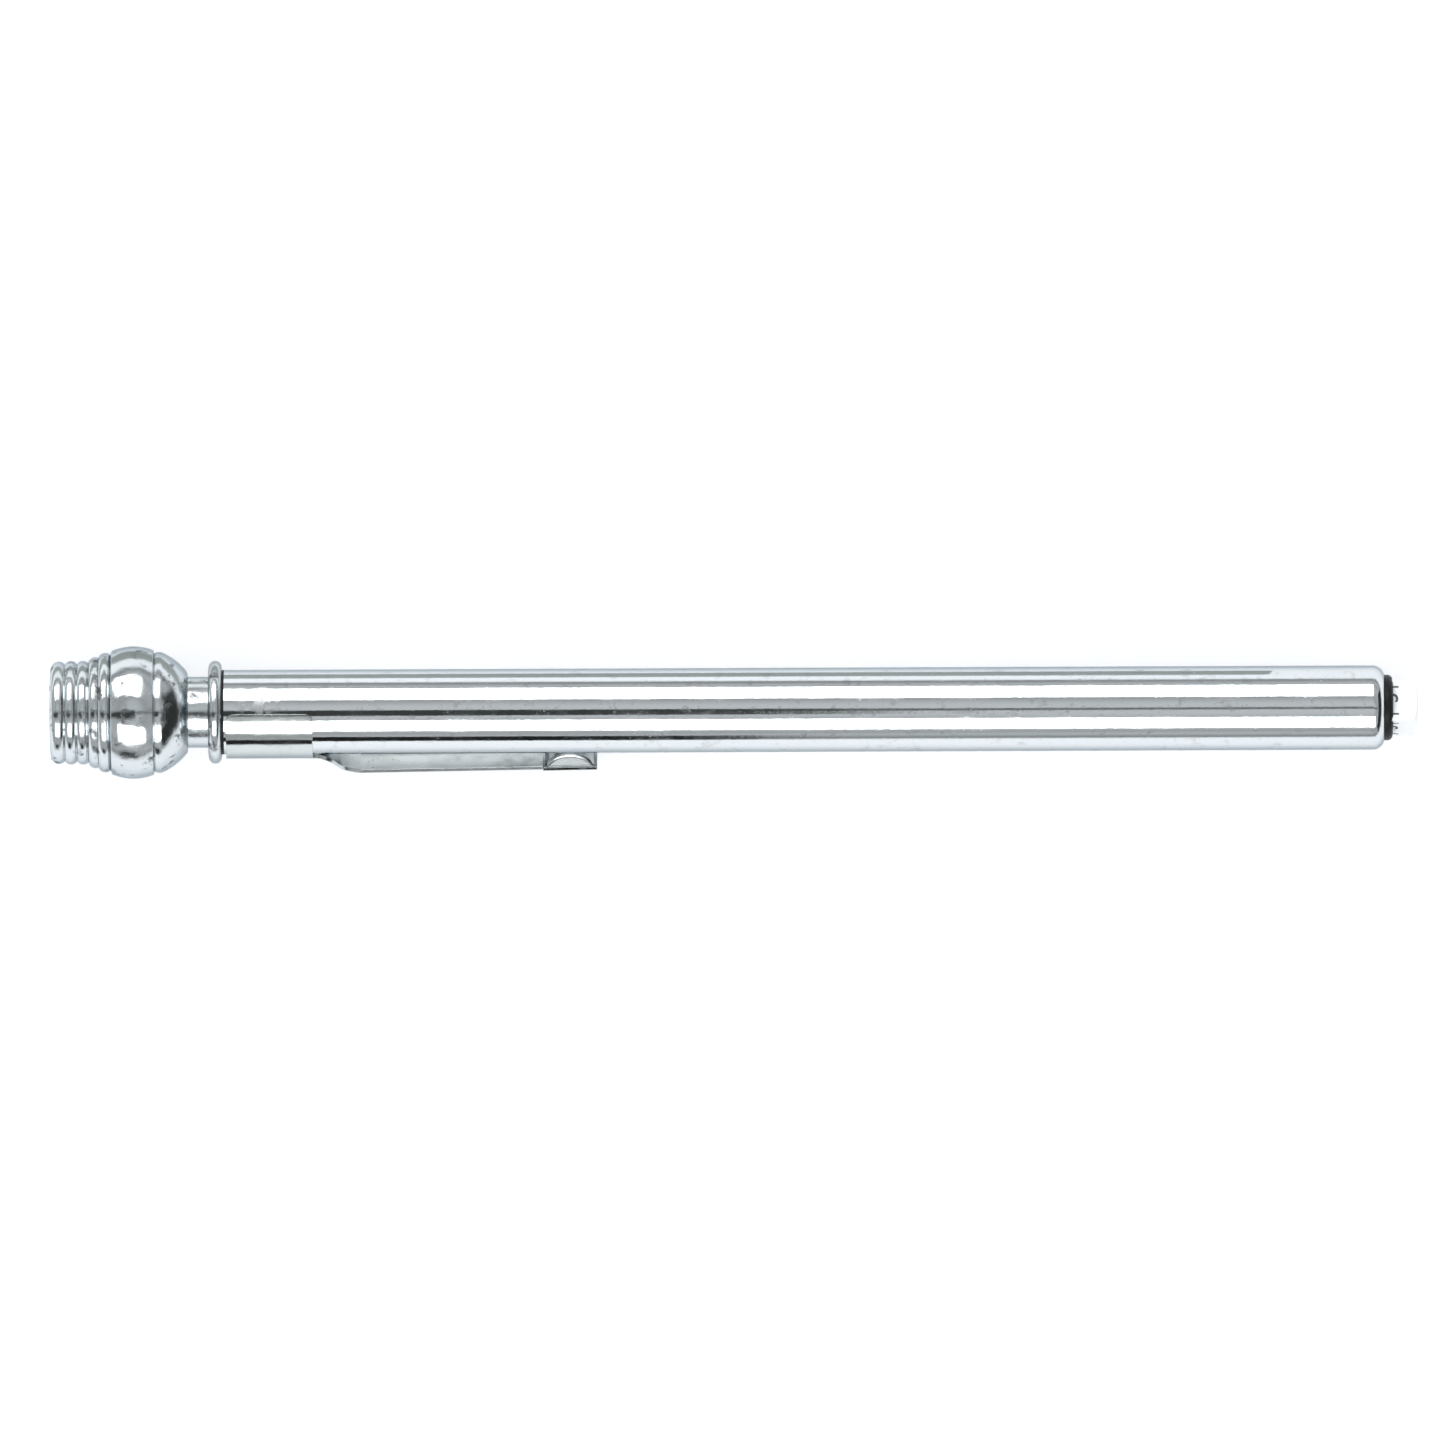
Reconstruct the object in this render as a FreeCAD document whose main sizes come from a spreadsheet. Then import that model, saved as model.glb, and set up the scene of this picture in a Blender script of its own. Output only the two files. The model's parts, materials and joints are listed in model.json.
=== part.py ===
import FreeCAD, Part

import math
import os
from types import SimpleNamespace

import Sketcher

# A pencil tyre gauge, in millimetres. +X runs along the barrel, from the mouth of the valve socket (x = 0) to the
# tail. +Z is up, and the pocket clip lies on the underside, turned towards -Y. Air pushes the cup and the plunger
# towards the tail against a spring, and the plunger pushes the printed bar out through the end guide.

Vector = FreeCAD.Vector

# Driving sizes: name, value, what it is. Lengths and radii in mm, angles in degrees.
SIZES = [
    # Chuck nose, screwed into the head
    ("socket_radius", 4.15, "valve socket, bore radius"),
    ("socket_depth", 5.2, "valve socket, mouth to seal"),
    ("mouth_break", 0.25, "bevel at the socket mouth"),
    ("lip_width", 0.75, "face round the socket mouth, bevel and flat"),
    ("lip_crown", 0.95, "rounding of the first rib"),
    ("rib_crown", 0.83, "rounding of the other ribs"),
    ("rib_one_width", 1.65, "first rib"),
    ("rib_two_width", 1.37, "second rib"),
    ("rib_three_width", 1.26, "third rib"),
    ("rib_four_width", 1.14, "fourth rib"),
    ("rib_five_width", 1.38, "fifth rib, against the head"),
    ("groove_one_radius", 5.5, "groove behind the first rib"),
    ("groove_two_radius", 5.5, "groove behind the second rib"),
    ("groove_three_radius", 5.62, "groove behind the third rib"),
    ("groove_four_radius", 6.2, "groove behind the fourth rib"),
    ("groove_five_radius", 6.5, "joint between nose and head"),
    ("skirt_wall", 0.8, "nose's skirt, from the seal to the thread's pitch radius"),
    ("nose_thread_length", 2.6, "thread that holds the nose, depth in the head"),
    ("thread_gap", 0.03, "radial gap in a closed thread or a snug fit"),
    # Seal and deflator
    ("seal_ledge", 0.45, "rubber seal beyond the socket's wall"),
    ("seal_thickness", 3.0, "rubber seal"),
    ("seal_hole_radius", 1.3, "air hole in the seal"),
    ("seal_dish_radius", 2.4, "dished front of the seal"),
    ("seal_dish_depth", 0.7, "dished front of the seal"),
    ("seal_chamber_radius", 3.4, "air space behind the seal's middle"),
    ("seal_chamber_depth", 0.6, "air space behind the seal's middle"),
    ("disc_thickness", 1.2, "deflator disc"),
    ("disc_hole_radius", 0.6, "air holes in the disc"),
    ("disc_hole_circle", 2.5, "circle of the air holes"),
    ("pin_radius", 0.8, "deflator pin"),
    ("pin_setback", 0.3, "pin tip behind the seal's face"),
    ("pin_head_radius", 1.15, "riveted tail of the pin"),
    ("pin_head_length", 0.5, "riveted tail of the pin"),
    # Ball head
    ("band_edge_radius", 6.98, "front edge of the ball's band"),
    ("band_back_radius", 7.03, "back edge of the ball's band"),
    ("band_crown", 6.1, "rounding of the band, along the axis"),
    ("band_width", 4.72, "ball's band"),
    ("band_lead", 0.15, "bevel before the band"),
    ("ball_groove_radius", 6.6, "groove behind the band"),
    ("ball_groove_width", 0.2, "groove behind the band"),
    ("ball_rib_radius", 6.76, "edges of the narrow rib between groove and dome"),
    ("ball_rib_width", 0.78, "narrow rib between groove and dome"),
    ("ball_rib_crown", 1.3, "rounding of the narrow rib, along the axis"),
    ("dome_end_radius", 4.55, "small end of the back dome"),
    ("dome_crown", 7.0, "rounding of the back dome"),
    ("dome_length", 2.8, "back dome"),
    ("neck_shoulder", 0.1, "step down to the neck"),
    ("neck_radius", 4.0, "neck"),
    ("neck_length", 2.3, "neck"),
    ("bead_stand", 1.0375, "round bead beyond the tube"),
    ("bead_round", 0.75, "half the bead's width"),
    ("spigot_length", 8.65, "spigot inside the tube"),
    ("spigot_bevel", 0.35, "lead at the spigot's end"),
    ("head_chamber_radius", 3.3, "air chamber behind the disc"),
    ("head_chamber_depth", 1.0, "air chamber behind the disc"),
    ("head_cone_depth", 2.0, "cone from the chamber to the passage"),
    ("passage_radius", 1.25, "air passage through the neck"),
    # Tube
    ("gasket_thickness", 0.25, "gasket between bead and tube"),
    ("tube_radius", 4.7625, "3/8 in tube, outside"),
    ("tube_wall", 0.4, "tube wall"),
    ("tube_length", 130.8, "tube, front end to the crown of the rolled end"),
    ("roll_radius", 1.35, "rolled end, outside of the curl"),
    # Pocket clip
    ("clip_roll", 45.0, "clip turned from straight down towards -Y"),
    ("clip_gap", 0.0375, "running clearance of the band on the tube"),
    ("clip_sheet", 0.45, "clip sheet thickness"),
    ("clip_setback", 0.25, "bare tube before the band"),
    ("band_length", 9.75, "clip band along the tube"),
    ("band_near_wrap", 132.0, "band's angle round the tube, from the arm to the end on top"),
    ("band_far_wrap", 110.5, "band's angle round the tube, from the arm to the end below"),
    ("band_corner", 0.95, "rounded corners of the band"),
    ("arm_root_half", 3.9, "half width of the arm where it leaves the band"),
    ("arm_half", 2.2, "half width of the arm"),
    ("arm_trough", 14.0, "radius of the arm's hollow cross-section"),
    ("arm_rise_start", 0.7, "band end to where the arm starts to rise"),
    ("arm_rise", 2.475, "arm's rise away from the tube"),
    ("arm_rise_length", 4.6, "length over which the arm rises"),
    ("arm_straight", 20.6, "arm from the end of the rise to the tip pad"),
    ("arm_droop", 0.43, "how far the arm leans back to the tube"),
    ("tip_length", 6.1, "flat pad at the tip"),
    ("tip_droop", 0.14, "lean of the tip pad"),
    ("tip_extra", 0.1, "tip pad wider than the arm, each side"),
    ("tip_trough", 42.0, "radius of the tip pad's cross-section"),
    ("boss_chord", 5.8, "pressed boss, length"),
    ("boss_gap", 0.14, "pressed boss to the tube"),
    ("boss_margin", 0.2, "flat rim each side of the boss"),
    ("boss_wall", 0.38, "sheet left in the pressed boss"),
    ("boss_edge", 0.4, "rounded edge of the boss"),
    # Piston stack
    ("cup_gap", 0.02, "radial gap of the cup's lip in the tube"),
    ("cup_length", 3.5, "rubber cup"),
    ("cup_base", 1.0, "rubber cup, base"),
    ("cup_rim", 0.3, "rubber cup, wall at the lip's edge"),
    ("cup_wall", 1.17, "rubber cup, wall at the base"),
    ("cup_lip_length", 1.2, "part of the cup that touches the tube"),
    ("cup_waist", 0.14, "relief behind the lip"),
    ("washer_thickness", 0.5, "washer in the cup"),
    ("washer_radius", 2.8, "washer in the cup"),
    ("rivet_radius", 0.8, "rivet shank"),
    ("rivet_head_radius", 1.7, "rivet head"),
    ("rivet_head_length", 0.8, "rivet head"),
    ("rivet_grip", 3.8, "rivet in the plunger"),
    ("plunger_gap", 0.16, "radial gap of the plunger's flange"),
    ("flange_thickness", 1.2, "plunger flange"),
    ("pilot_length", 7.3, "plunger pilot inside the spring"),
    ("pilot_gap", 0.1, "radial gap of the pilot and the stop collar in the spring"),
    # Spring
    ("wire_radius", 0.36, "spring wire"),
    ("spring_gap", 0.12, "radial gap between spring and tube"),
    ("spring_end_gap", 0.02, "gap at each end of the spring"),
    ("spring_turns", 17.0, "turns"),
    # Tail stack
    ("seat_thickness", 0.8, "spring seat"),
    ("seat_gap", 0.12, "gap between seat and bar, each side"),
    ("brake_thickness", 1.8, "rubber brake"),
    ("brake_gap", 0.03, "gap between brake and bar, each side"),
    ("stack_gap", 0.08, "radial gap of seat, brake and guide in the tube"),
    ("guide_body_length", 2.85, "end guide before the rolled end"),
    ("guide_wall", 0.08, "wall of the guide's nose at the corners of its square hole"),
    ("guide_nose_gap", 0.04, "radial gap of the guide's nose in the rolled end's opening"),
    ("guide_proud", 0.9, "guide beyond the rolled end"),
    ("guide_round", 0.6, "rounded rim of the guide"),
    ("guide_gap", 0.06, "gap between guide and bar, each side"),
    # Indicator bar
    ("bar_spring_gap", 0.09, "radial gap between the bar's edges and the spring"),
    ("bar_edge", 0.25, "rounded edges of the bar"),
    ("bar_roll", 21.3, "bar's top face turned towards +Y"),
    ("bar_proud", 2.95, "bar beyond the guide at rest"),
    ("bar_dome", 11.7, "domed end of the bar"),
    ("tenon_radius", 2.0, "round tenon at the bar's inner end"),
    ("collar_length", 1.8, "stop collar"),
]

SHEET = "Sizes"


class Size:
    """A length or an angle that carries its number and the sheet expression that it is worked out from."""

    def __init__(self, value, text):
        self.value = value
        self.text = text

    def __add__(self, other):
        other = as_size(other)
        return Size(self.value + other.value, f"({self.text} + {other.text})")

    def __sub__(self, other):
        other = as_size(other)
        return Size(self.value - other.value, f"({self.text} - {other.text})")

    def __mul__(self, other):
        other = as_size(other)
        return Size(self.value * other.value, f"({self.text} * {other.text})")

    def __truediv__(self, other):
        other = as_size(other)
        return Size(self.value / other.value, f"({self.text} / {other.text})")

    def __neg__(self):
        return Size(-self.value, f"(0 - {self.text})")


def as_size(number):
    return number if isinstance(number, Size) else Size(float(number), repr(float(number)))


def sine(angle):
    return Size(math.sin(math.radians(angle.value)), f"sin({angle.text})")


def cosine(angle):
    return Size(math.cos(math.radians(angle.value)), f"cos({angle.text})")


def root(number):
    return Size(math.sqrt(number.value), f"sqrt({number.text})")


def leg(long_side, other_side):
    """The third side of a right triangle."""
    return root(long_side * long_side - other_side * other_side)


ZERO = Size(0.0, "0")
ROOT_TWO = root(Size(2.0, "2"))

doc = FreeCAD.newDocument("tyre_gauge")
sheet = doc.addObject("Spreadsheet::Sheet", SHEET)
for row, (name, value, meaning) in enumerate(SIZES, start=1):
    sheet.set(f"A{row}", meaning)
    sheet.set(f"B{row}", str(value))
    sheet.setAlias(f"B{row}", name)
doc.recompute()
S = SimpleNamespace(**{name: Size(value, f"{SHEET}.{name}") for name, value, _ in SIZES})


# Places along the axis and radii that several pieces share
nose_end = S.rib_one_width + S.rib_two_width + S.rib_three_width + S.rib_four_width + S.rib_five_width
thread_floor = nose_end + S.nose_thread_length
seal_radius = S.socket_radius + S.seal_ledge
nose_thread_radius = seal_radius + S.skirt_wall
disc_front = S.socket_depth + S.seal_thickness
disc_back = disc_front + S.disc_thickness
band_front = nose_end + S.band_lead
band_back = band_front + S.band_width
ball_rib_front = band_back + S.ball_groove_width
dome_front = ball_rib_front + S.ball_rib_width
dome_back = dome_front + S.dome_length
neck_front = dome_back + S.neck_shoulder
bead_front = neck_front + S.neck_length
bead_middle = bead_front + S.bead_round
bead_back = bead_middle + S.bead_round
bead_radius = S.tube_radius + S.bead_stand
bead_waist = bead_radius - S.bead_round
spigot_end = bead_back + S.spigot_length
tube_front = bead_back + S.gasket_thickness
bore_radius = S.tube_radius - S.tube_wall
spigot_radius = bore_radius - S.thread_gap
tube_back = tube_front + S.tube_length
roll_x = tube_back - S.roll_radius
roll_y = S.tube_radius - S.roll_radius
cup_back = spigot_end + S.cup_length
washer_back = cup_back - S.cup_base
washer_front = washer_back - S.washer_thickness
flange_back = cup_back + S.flange_thickness
plunger_end = flange_back + S.pilot_length
spring_outer = bore_radius - S.spring_gap
spring_inner = spring_outer - S.wire_radius * 2
pilot_radius = spring_inner - S.pilot_gap
stack_radius = bore_radius - S.stack_gap
guide_front = roll_x - S.guide_body_length
brake_front = guide_front - S.brake_thickness
seat_front = brake_front - S.seat_thickness
guide_back = tube_back + S.guide_proud
bar_end = guide_back + S.bar_proud
bar_flat = (spring_inner - S.bar_spring_gap - S.bar_edge) / ROOT_TWO
bar_half = bar_flat + S.bar_edge
guide_nose_radius = (bar_half + S.guide_gap) * ROOT_TWO + S.guide_wall
tail_hole_radius = guide_nose_radius + S.guide_nose_gap


def origin_feature(body, role):
    """One of a body's own origin planes or axes."""
    return next(f for f in body.Origin.OriginFeatures if f.Role == role)


def new_body(name):
    body = doc.addObject("PartDesign::Body", name)
    body.Label = name
    return body


def new_sketch(body, name, plane, offset=None):
    """A sketch on one of the body's origin planes, moved along the plane's normal by offset."""
    sketch = body.newObject("Sketcher::SketchObject", name)
    sketch.AttachmentSupport = [(origin_feature(body, plane), "")]
    sketch.MapMode = "FlatFace"
    if offset is not None:
        sketch.AttachmentOffset = FreeCAD.Placement(Vector(0, 0, offset.value), FreeCAD.Rotation())
        sketch.setExpression("AttachmentOffset.Base.z", offset.text)
    return sketch


def drive(sketch, constraint, size):
    """Add a dimension to a sketch and tie it to the sheet."""
    index = sketch.addConstraint(constraint)
    sketch.setExpression(f"Constraints[{index}]", size.text)


def arc_between(start, end, radius, clockwise):
    """The shorter arc of this radius from start to end, as Sketcher holds it: anticlockwise."""
    chord = end - start
    across = Vector(chord.y, -chord.x, 0) if clockwise else Vector(-chord.y, chord.x, 0)
    across.normalize()
    half = chord.Length / 2
    centre = (start + end) / 2 + across * math.sqrt(radius * radius - half * half)
    first, last = (end, start) if clockwise else (start, end)
    angles = [math.atan2((p - centre).y, (p - centre).x) for p in (first, last)]
    return Part.ArcOfCircle(Part.Circle(centre, Vector(0, 0, 1), radius), *angles)


def draw_outline(sketch, outline):
    """Draw a closed outline, with every corner and radius driven by the sheet. A corner is (across, up), reached
    by a straight line, or (across, up, radius, turn), reached by an arc that turns "right" or "left"."""
    corners = [Vector(c[0].value, c[1].value, 0) for c in outline]
    ends = []
    for number, corner in enumerate(outline):
        start, end = corners[number - 1], corners[number]
        if len(corner) == 2:
            geometry = sketch.addGeometry(Part.LineSegment(start, end))
            ends.append((geometry, 1, 2))
            continue
        radius, turn = corner[2:]
        right = turn == "right"
        geometry = sketch.addGeometry(arc_between(start, end, radius.value, right))
        drive(sketch, Sketcher.Constraint("Radius", geometry, radius.value), radius)
        ends.append((geometry, 2, 1) if right else (geometry, 1, 2))
    for number, (across, up) in enumerate(c[:2] for c in outline):
        geometry, _, last = ends[number]
        following, first, _ = ends[(number + 1) % len(ends)]
        sketch.addConstraint(Sketcher.Constraint("Coincident", geometry, last, following, first))
        for kind, axis, size in (("DistanceX", -2, across), ("DistanceY", -1, up)):
            if size is ZERO:
                sketch.addConstraint(Sketcher.Constraint("PointOnObject", geometry, last, axis))
            else:
                drive(sketch, Sketcher.Constraint(kind, -1, 1, geometry, last, size.value), size)


def revolve(body, name, outline, feature="Revolution"):
    """Turn an outline of (along the axis, radius) corners round the X axis; feature "Groove" cuts it away."""
    sketch = new_sketch(body, name + "_outline", "XY_Plane")
    draw_outline(sketch, outline)
    turned = body.newObject("PartDesign::" + feature, name)
    turned.Profile = sketch
    turned.ReferenceAxis = (sketch, ["H_Axis"])
    turned.Angle = 360
    return turned


def turned_piece(name, outline):
    """A body that is one turned or moulded round piece."""
    body = new_body(name)
    revolve(body, name + "_turned", outline)
    return body


def ring(name, front, back, inner, outer):
    """A plain washer, collar or sleeve."""
    return turned_piece(name, [(front, inner), (front, outer), (back, outer), (back, inner)])


def extrude(body, name, sketch, length, feature="Pad", symmetric=False):
    """Pad or pocket a sketch, along its normal for a pad and against it for a pocket."""
    solid = body.newObject("PartDesign::" + feature, name)
    solid.Profile = sketch
    solid.Type = 0
    solid.Length = length.value
    solid.setExpression("Length", length.text)
    if symmetric:
        solid.SideType = "Symmetric"
    return solid


def square_hole(body, name, gap, back, depth):
    """Cut the bar's square section, with this gap each side, from back towards the front."""
    half = bar_half + gap
    sketch = new_sketch(body, name + "_square", "YZ_Plane", back)
    draw_outline(sketch, [(-half, -half), (-half, half), (half, half), (half, -half)])
    extrude(body, name, sketch, depth, "Pocket")


def roll_about_axis(body, angle):
    """Turn a piece about the gauge's axis, from +Z towards +Y."""
    body.Placement = FreeCAD.Placement(Vector(), FreeCAD.Rotation(Vector(1, 0, 0), -angle.value))
    body.setExpression("Placement.Rotation.Angle", (-angle).text)


def fillet_edges(body, name, radius, chosen):
    """Round the edges of the body's tip that the test picks."""
    doc.recompute()
    base = body.Tip
    edges = [f"Edge{n}" for n, edge in enumerate(base.Shape.Edges, start=1) if chosen(edge)]
    rounded = body.newObject("PartDesign::Fillet", name)
    rounded.Base = (base, edges)
    rounded.Radius = radius.value
    rounded.setExpression("Radius", radius.text)
    return rounded


def make_nose_cap():
    """Ribbed chuck nose, turned, with the valve socket in front and a threaded skirt behind."""
    ribs = [
        (S.rib_two_width, S.groove_two_radius),
        (S.rib_three_width, S.groove_three_radius),
        (S.rib_four_width, S.groove_four_radius),
        (S.rib_five_width, S.groove_five_radius),
    ]
    along = S.rib_one_width
    recess = seal_radius + S.thread_gap
    thread = nose_thread_radius - S.thread_gap
    skirt_end = thread_floor - S.mouth_break
    outline = [
        (S.mouth_break, S.socket_radius),
        (ZERO, S.socket_radius + S.mouth_break),
        (ZERO, S.socket_radius + S.lip_width),
        (along, S.groove_one_radius, S.lip_crown, "right"),
    ]
    for width, groove_radius in ribs:
        along = along + width
        outline.append((along, groove_radius, S.rib_crown, "right"))
    outline += [
        (along, thread),
        (skirt_end, thread),
        (skirt_end, recess),
        (S.socket_depth, recess),
        (S.socket_depth, S.socket_radius),
    ]
    return turned_piece("nose_cap", outline)


def make_valve_seal():
    """Moulded rubber seal that the valve's rim presses on."""
    chamber_front = disc_front - S.seal_chamber_depth
    return turned_piece("valve_seal", [
        (S.socket_depth, S.seal_dish_radius),
        (S.socket_depth, seal_radius),
        (disc_front, seal_radius),
        (disc_front, S.seal_chamber_radius),
        (chamber_front, S.seal_chamber_radius),
        (chamber_front, S.seal_hole_radius),
        (S.socket_depth + S.seal_dish_depth, S.seal_hole_radius),
    ])


def make_deflator_disc():
    """Brass disc that carries the pin and backs the seal, with a ring of air holes."""
    name = "deflator_disc"
    body = ring(name, disc_front, disc_back, S.pin_radius + S.thread_gap, seal_radius)
    sketch = new_sketch(body, "air_hole_circle", "YZ_Plane", disc_back)
    hole = sketch.addGeometry(Part.Circle(Vector(0, S.disc_hole_circle.value, 0), Vector(0, 0, 1), 1))
    drive(sketch, Sketcher.Constraint("Radius", hole, S.disc_hole_radius.value), S.disc_hole_radius)
    sketch.addConstraint(Sketcher.Constraint("PointOnObject", hole, 3, -2))
    height = S.disc_hole_circle
    drive(sketch, Sketcher.Constraint("DistanceY", -1, 1, hole, 3, height.value), height)
    pocket = extrude(body, "air_hole", sketch, S.disc_thickness, "Pocket")
    doc.recompute()
    pattern = body.newObject("PartDesign::PolarPattern", "air_holes")
    pattern.Originals = [pocket]
    pattern.Axis = (origin_feature(body, "X_Axis"), [""])
    pattern.Angle = 360
    pattern.Occurrences = 4
    body.Tip = pattern
    return body


def make_deflator_pin():
    """Pin that opens the tyre valve, round at the tip and riveted behind the disc."""
    tip = S.socket_depth + S.pin_setback
    end = disc_back + S.pin_head_length
    return turned_piece("deflator_pin", [
        (tip, ZERO),
        (tip + S.pin_radius, S.pin_radius, S.pin_radius, "right"),
        (disc_back, S.pin_radius),
        (disc_back, S.pin_head_radius),
        (end, S.pin_head_radius),
        (end, ZERO),
    ])


def make_head_body():
    """Ball head, neck, bead and tube spigot: one plated casting with the air passage through it."""
    chamber_back = thread_floor + S.head_chamber_depth
    return turned_piece("head_body", [
        (nose_end, nose_thread_radius),
        (nose_end, S.groove_five_radius),
        (band_front, S.band_edge_radius),
        (band_back, S.band_back_radius, S.band_crown, "right"),
        (band_back + S.ball_groove_width / 2, S.ball_groove_radius),
        (ball_rib_front, S.ball_rib_radius),
        (dome_front, S.ball_rib_radius, S.ball_rib_crown, "right"),
        (dome_back, S.dome_end_radius, S.dome_crown, "right"),
        (neck_front, S.neck_radius),
        (bead_front, S.neck_radius),
        (bead_front, bead_waist),
        (bead_middle, bead_radius, S.bead_round, "right"),
        (bead_back, bead_waist, S.bead_round, "right"),
        (bead_back, spigot_radius),
        (spigot_end - S.spigot_bevel, spigot_radius),
        (spigot_end, spigot_radius - S.spigot_bevel),
        (spigot_end, S.passage_radius),
        (chamber_back + S.head_cone_depth, S.passage_radius),
        (chamber_back, S.head_chamber_radius),
        (thread_floor, S.head_chamber_radius),
        (thread_floor, nose_thread_radius),
    ])


def make_tube():
    """Drawn tube with its tail rolled in over the end guide."""
    inner_curl = S.roll_radius - S.tube_wall
    rise = tail_hole_radius - roll_y
    inner_end = (roll_x + leg(inner_curl, rise), tail_hole_radius)
    share = S.roll_radius / inner_curl
    outer_end = (roll_x + leg(inner_curl, rise) * share, roll_y + rise * share)
    return turned_piece("tube", [
        (tube_front, bore_radius),
        (tube_front, S.tube_radius),
        (roll_x, S.tube_radius),
        (*outer_end, S.roll_radius, "right"),
        inner_end,
        (roll_x, bore_radius, inner_curl, "left"),
    ])


def arm_section(body, name, along, rise, trough, half_width):
    """One cross-section of the clip's arm: a shallow gutter, hollow towards the tube."""
    inner = trough - S.clip_sheet / 2
    outer = trough + S.clip_sheet / 2
    middle = S.tube_radius + S.clip_gap + S.clip_sheet / 2 + rise
    centre = trough - middle
    angle = half_width / trough * (180 / math.pi)
    sketch = new_sketch(body, name, "YZ_Plane", along)
    inner_side = inner * sine(angle)
    outer_side = outer * sine(angle)
    inner_height = centre - inner * cosine(angle)
    outer_height = centre - outer * cosine(angle)
    draw_outline(sketch, [
        (-outer_side, outer_height),
        (outer_side, outer_height, outer, "left"),
        (inner_side, inner_height),
        (-inner_side, inner_height, inner, "right"),
    ])
    return sketch


def loft(body, name, sections, ruled):
    """A solid through the cross-sections, straight between them if ruled and smooth if not."""
    solid = body.newObject("PartDesign::AdditiveLoft", name)
    solid.Profile = sections[0]
    solid.Sections = sections[1:]
    solid.Ruled = ruled
    return solid


def make_pocket_clip():
    """Stamped clip: a band that grips the tube, and a sprung arm with a pressed boss at its tip."""
    name = "pocket_clip"
    body = new_body(name)
    band_start = tube_front + S.clip_setback
    band_end = band_start + S.band_length
    inner = S.tube_radius + S.clip_gap
    outer = inner + S.clip_sheet
    near_reach, near_height = sine(S.band_near_wrap), -cosine(S.band_near_wrap)
    far_reach, far_height = sine(S.band_far_wrap), -cosine(S.band_far_wrap)
    sketch = new_sketch(body, "band_section", "YZ_Plane", band_start)
    draw_outline(sketch, [
        (inner * far_reach, inner * far_height),
        (ZERO, -inner, inner, "right"),
        (-(inner * near_reach), inner * near_height, inner, "right"),
        (-(outer * near_reach), outer * near_height),
        (ZERO, -outer, outer, "left"),
        (outer * far_reach, outer * far_height, outer, "left"),
    ])
    extrude(body, "band", sketch, S.band_length)
    sheet_mm = S.clip_sheet.value

    def band_corner(edge):
        """The four short edges across the sheet, at the ends of the band's wrap."""
        return abs(edge.Length - sheet_mm) < sheet_mm / 20 and edge.CenterOfMass.z > 0

    fillet_edges(body, "band_corners", S.band_corner, band_corner)

    base_trough = inner + S.clip_sheet / 2
    rise_start = band_end + S.arm_rise_start
    rise_end = rise_start + S.arm_rise_length
    # share of the rise's length, share of the rise, share of the way from the root's section to the arm's
    steps = [(0.0, 0.025, 0.0), (0.3, 0.12, 0.25), (0.5, 0.5, 0.6), (0.7, 0.8, 0.85), (1.0, 1.0, 1.0)]
    trough_change = S.arm_trough - base_trough
    width_change = S.arm_half - S.arm_root_half
    sections = [arm_section(body, "arm_root", band_end, ZERO, base_trough, S.arm_root_half)]
    for number, (share, rise, change) in enumerate(steps):
        sections.append(arm_section(
            body, f"arm_rise_{number}", rise_start + S.arm_rise_length * share, S.arm_rise * rise,
            base_trough + trough_change * change, S.arm_root_half + width_change * change))
    loft(body, "arm_rise", sections, False)

    tip_start = rise_end + S.arm_straight
    tip_end = tip_start + S.tip_length
    tip_rise = S.arm_rise - S.arm_droop
    loft(body, "arm_straight", [
        arm_section(body, "arm_front", rise_end, S.arm_rise, S.arm_trough, S.arm_half),
        arm_section(body, "arm_back", tip_start, tip_rise, S.arm_trough, S.arm_half),
    ], True)
    tip_half = S.arm_half + S.tip_extra
    loft(body, "tip_pad", [
        arm_section(body, "tip_front", tip_start, tip_rise, S.tip_trough, tip_half),
        arm_section(body, "tip_back", tip_end, tip_rise - S.tip_droop, S.tip_trough, tip_half),
    ], True)

    # The boss is a low arch across the pad, pressed towards the tube and hollow behind.
    pad_middle = inner + S.clip_sheet / 2 + tip_rise - S.tip_droop / 2
    boss_centre = tip_start + S.tip_length / 2
    half_chord = S.boss_chord / 2
    boss_height = pad_middle - S.tube_radius - S.boss_gap
    boss_radius = (half_chord * half_chord + boss_height * boss_height) / (boss_height * 2)
    boss_half = tip_half - S.boss_margin
    sketch = new_sketch(body, "boss_arch", "XZ_Plane")
    draw_outline(sketch, [
        (boss_centre - half_chord, -pad_middle),
        (boss_centre, boss_height - pad_middle, boss_radius, "right"),
        (boss_centre + half_chord, -pad_middle, boss_radius, "right"),
    ])
    extrude(body, "boss", sketch, boss_half * 2, symmetric=True)
    side = boss_half.value
    foot = -pad_middle.value + sheet_mm

    def boss_rim(edge):
        """The arch's long edges, at each side of the boss."""
        across = abs(abs(edge.CenterOfMass.y) - side) < 0.01
        return across and edge.CenterOfMass.z > foot and abs(edge.CenterOfMass.x - boss_centre.value) < side

    fillet_edges(body, "boss_rim", S.boss_edge, boss_rim)
    hollow_radius = boss_radius - S.boss_wall
    hollow_foot = -(pad_middle + S.clip_sheet)
    depth = boss_radius - boss_height + S.clip_sheet
    hollow_half_chord = leg(hollow_radius, depth)
    sketch = new_sketch(body, "boss_hollow_arch", "XZ_Plane")
    draw_outline(sketch, [
        (boss_centre - hollow_half_chord, hollow_foot),
        (boss_centre, hollow_foot + hollow_radius - depth, hollow_radius, "right"),
        (boss_centre + hollow_half_chord, hollow_foot, hollow_radius, "right"),
    ])
    extrude(body, "boss_hollow", sketch, (boss_half - S.boss_wall) * 2, "Pocket", symmetric=True)
    roll_about_axis(body, S.clip_roll)
    return body


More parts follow.
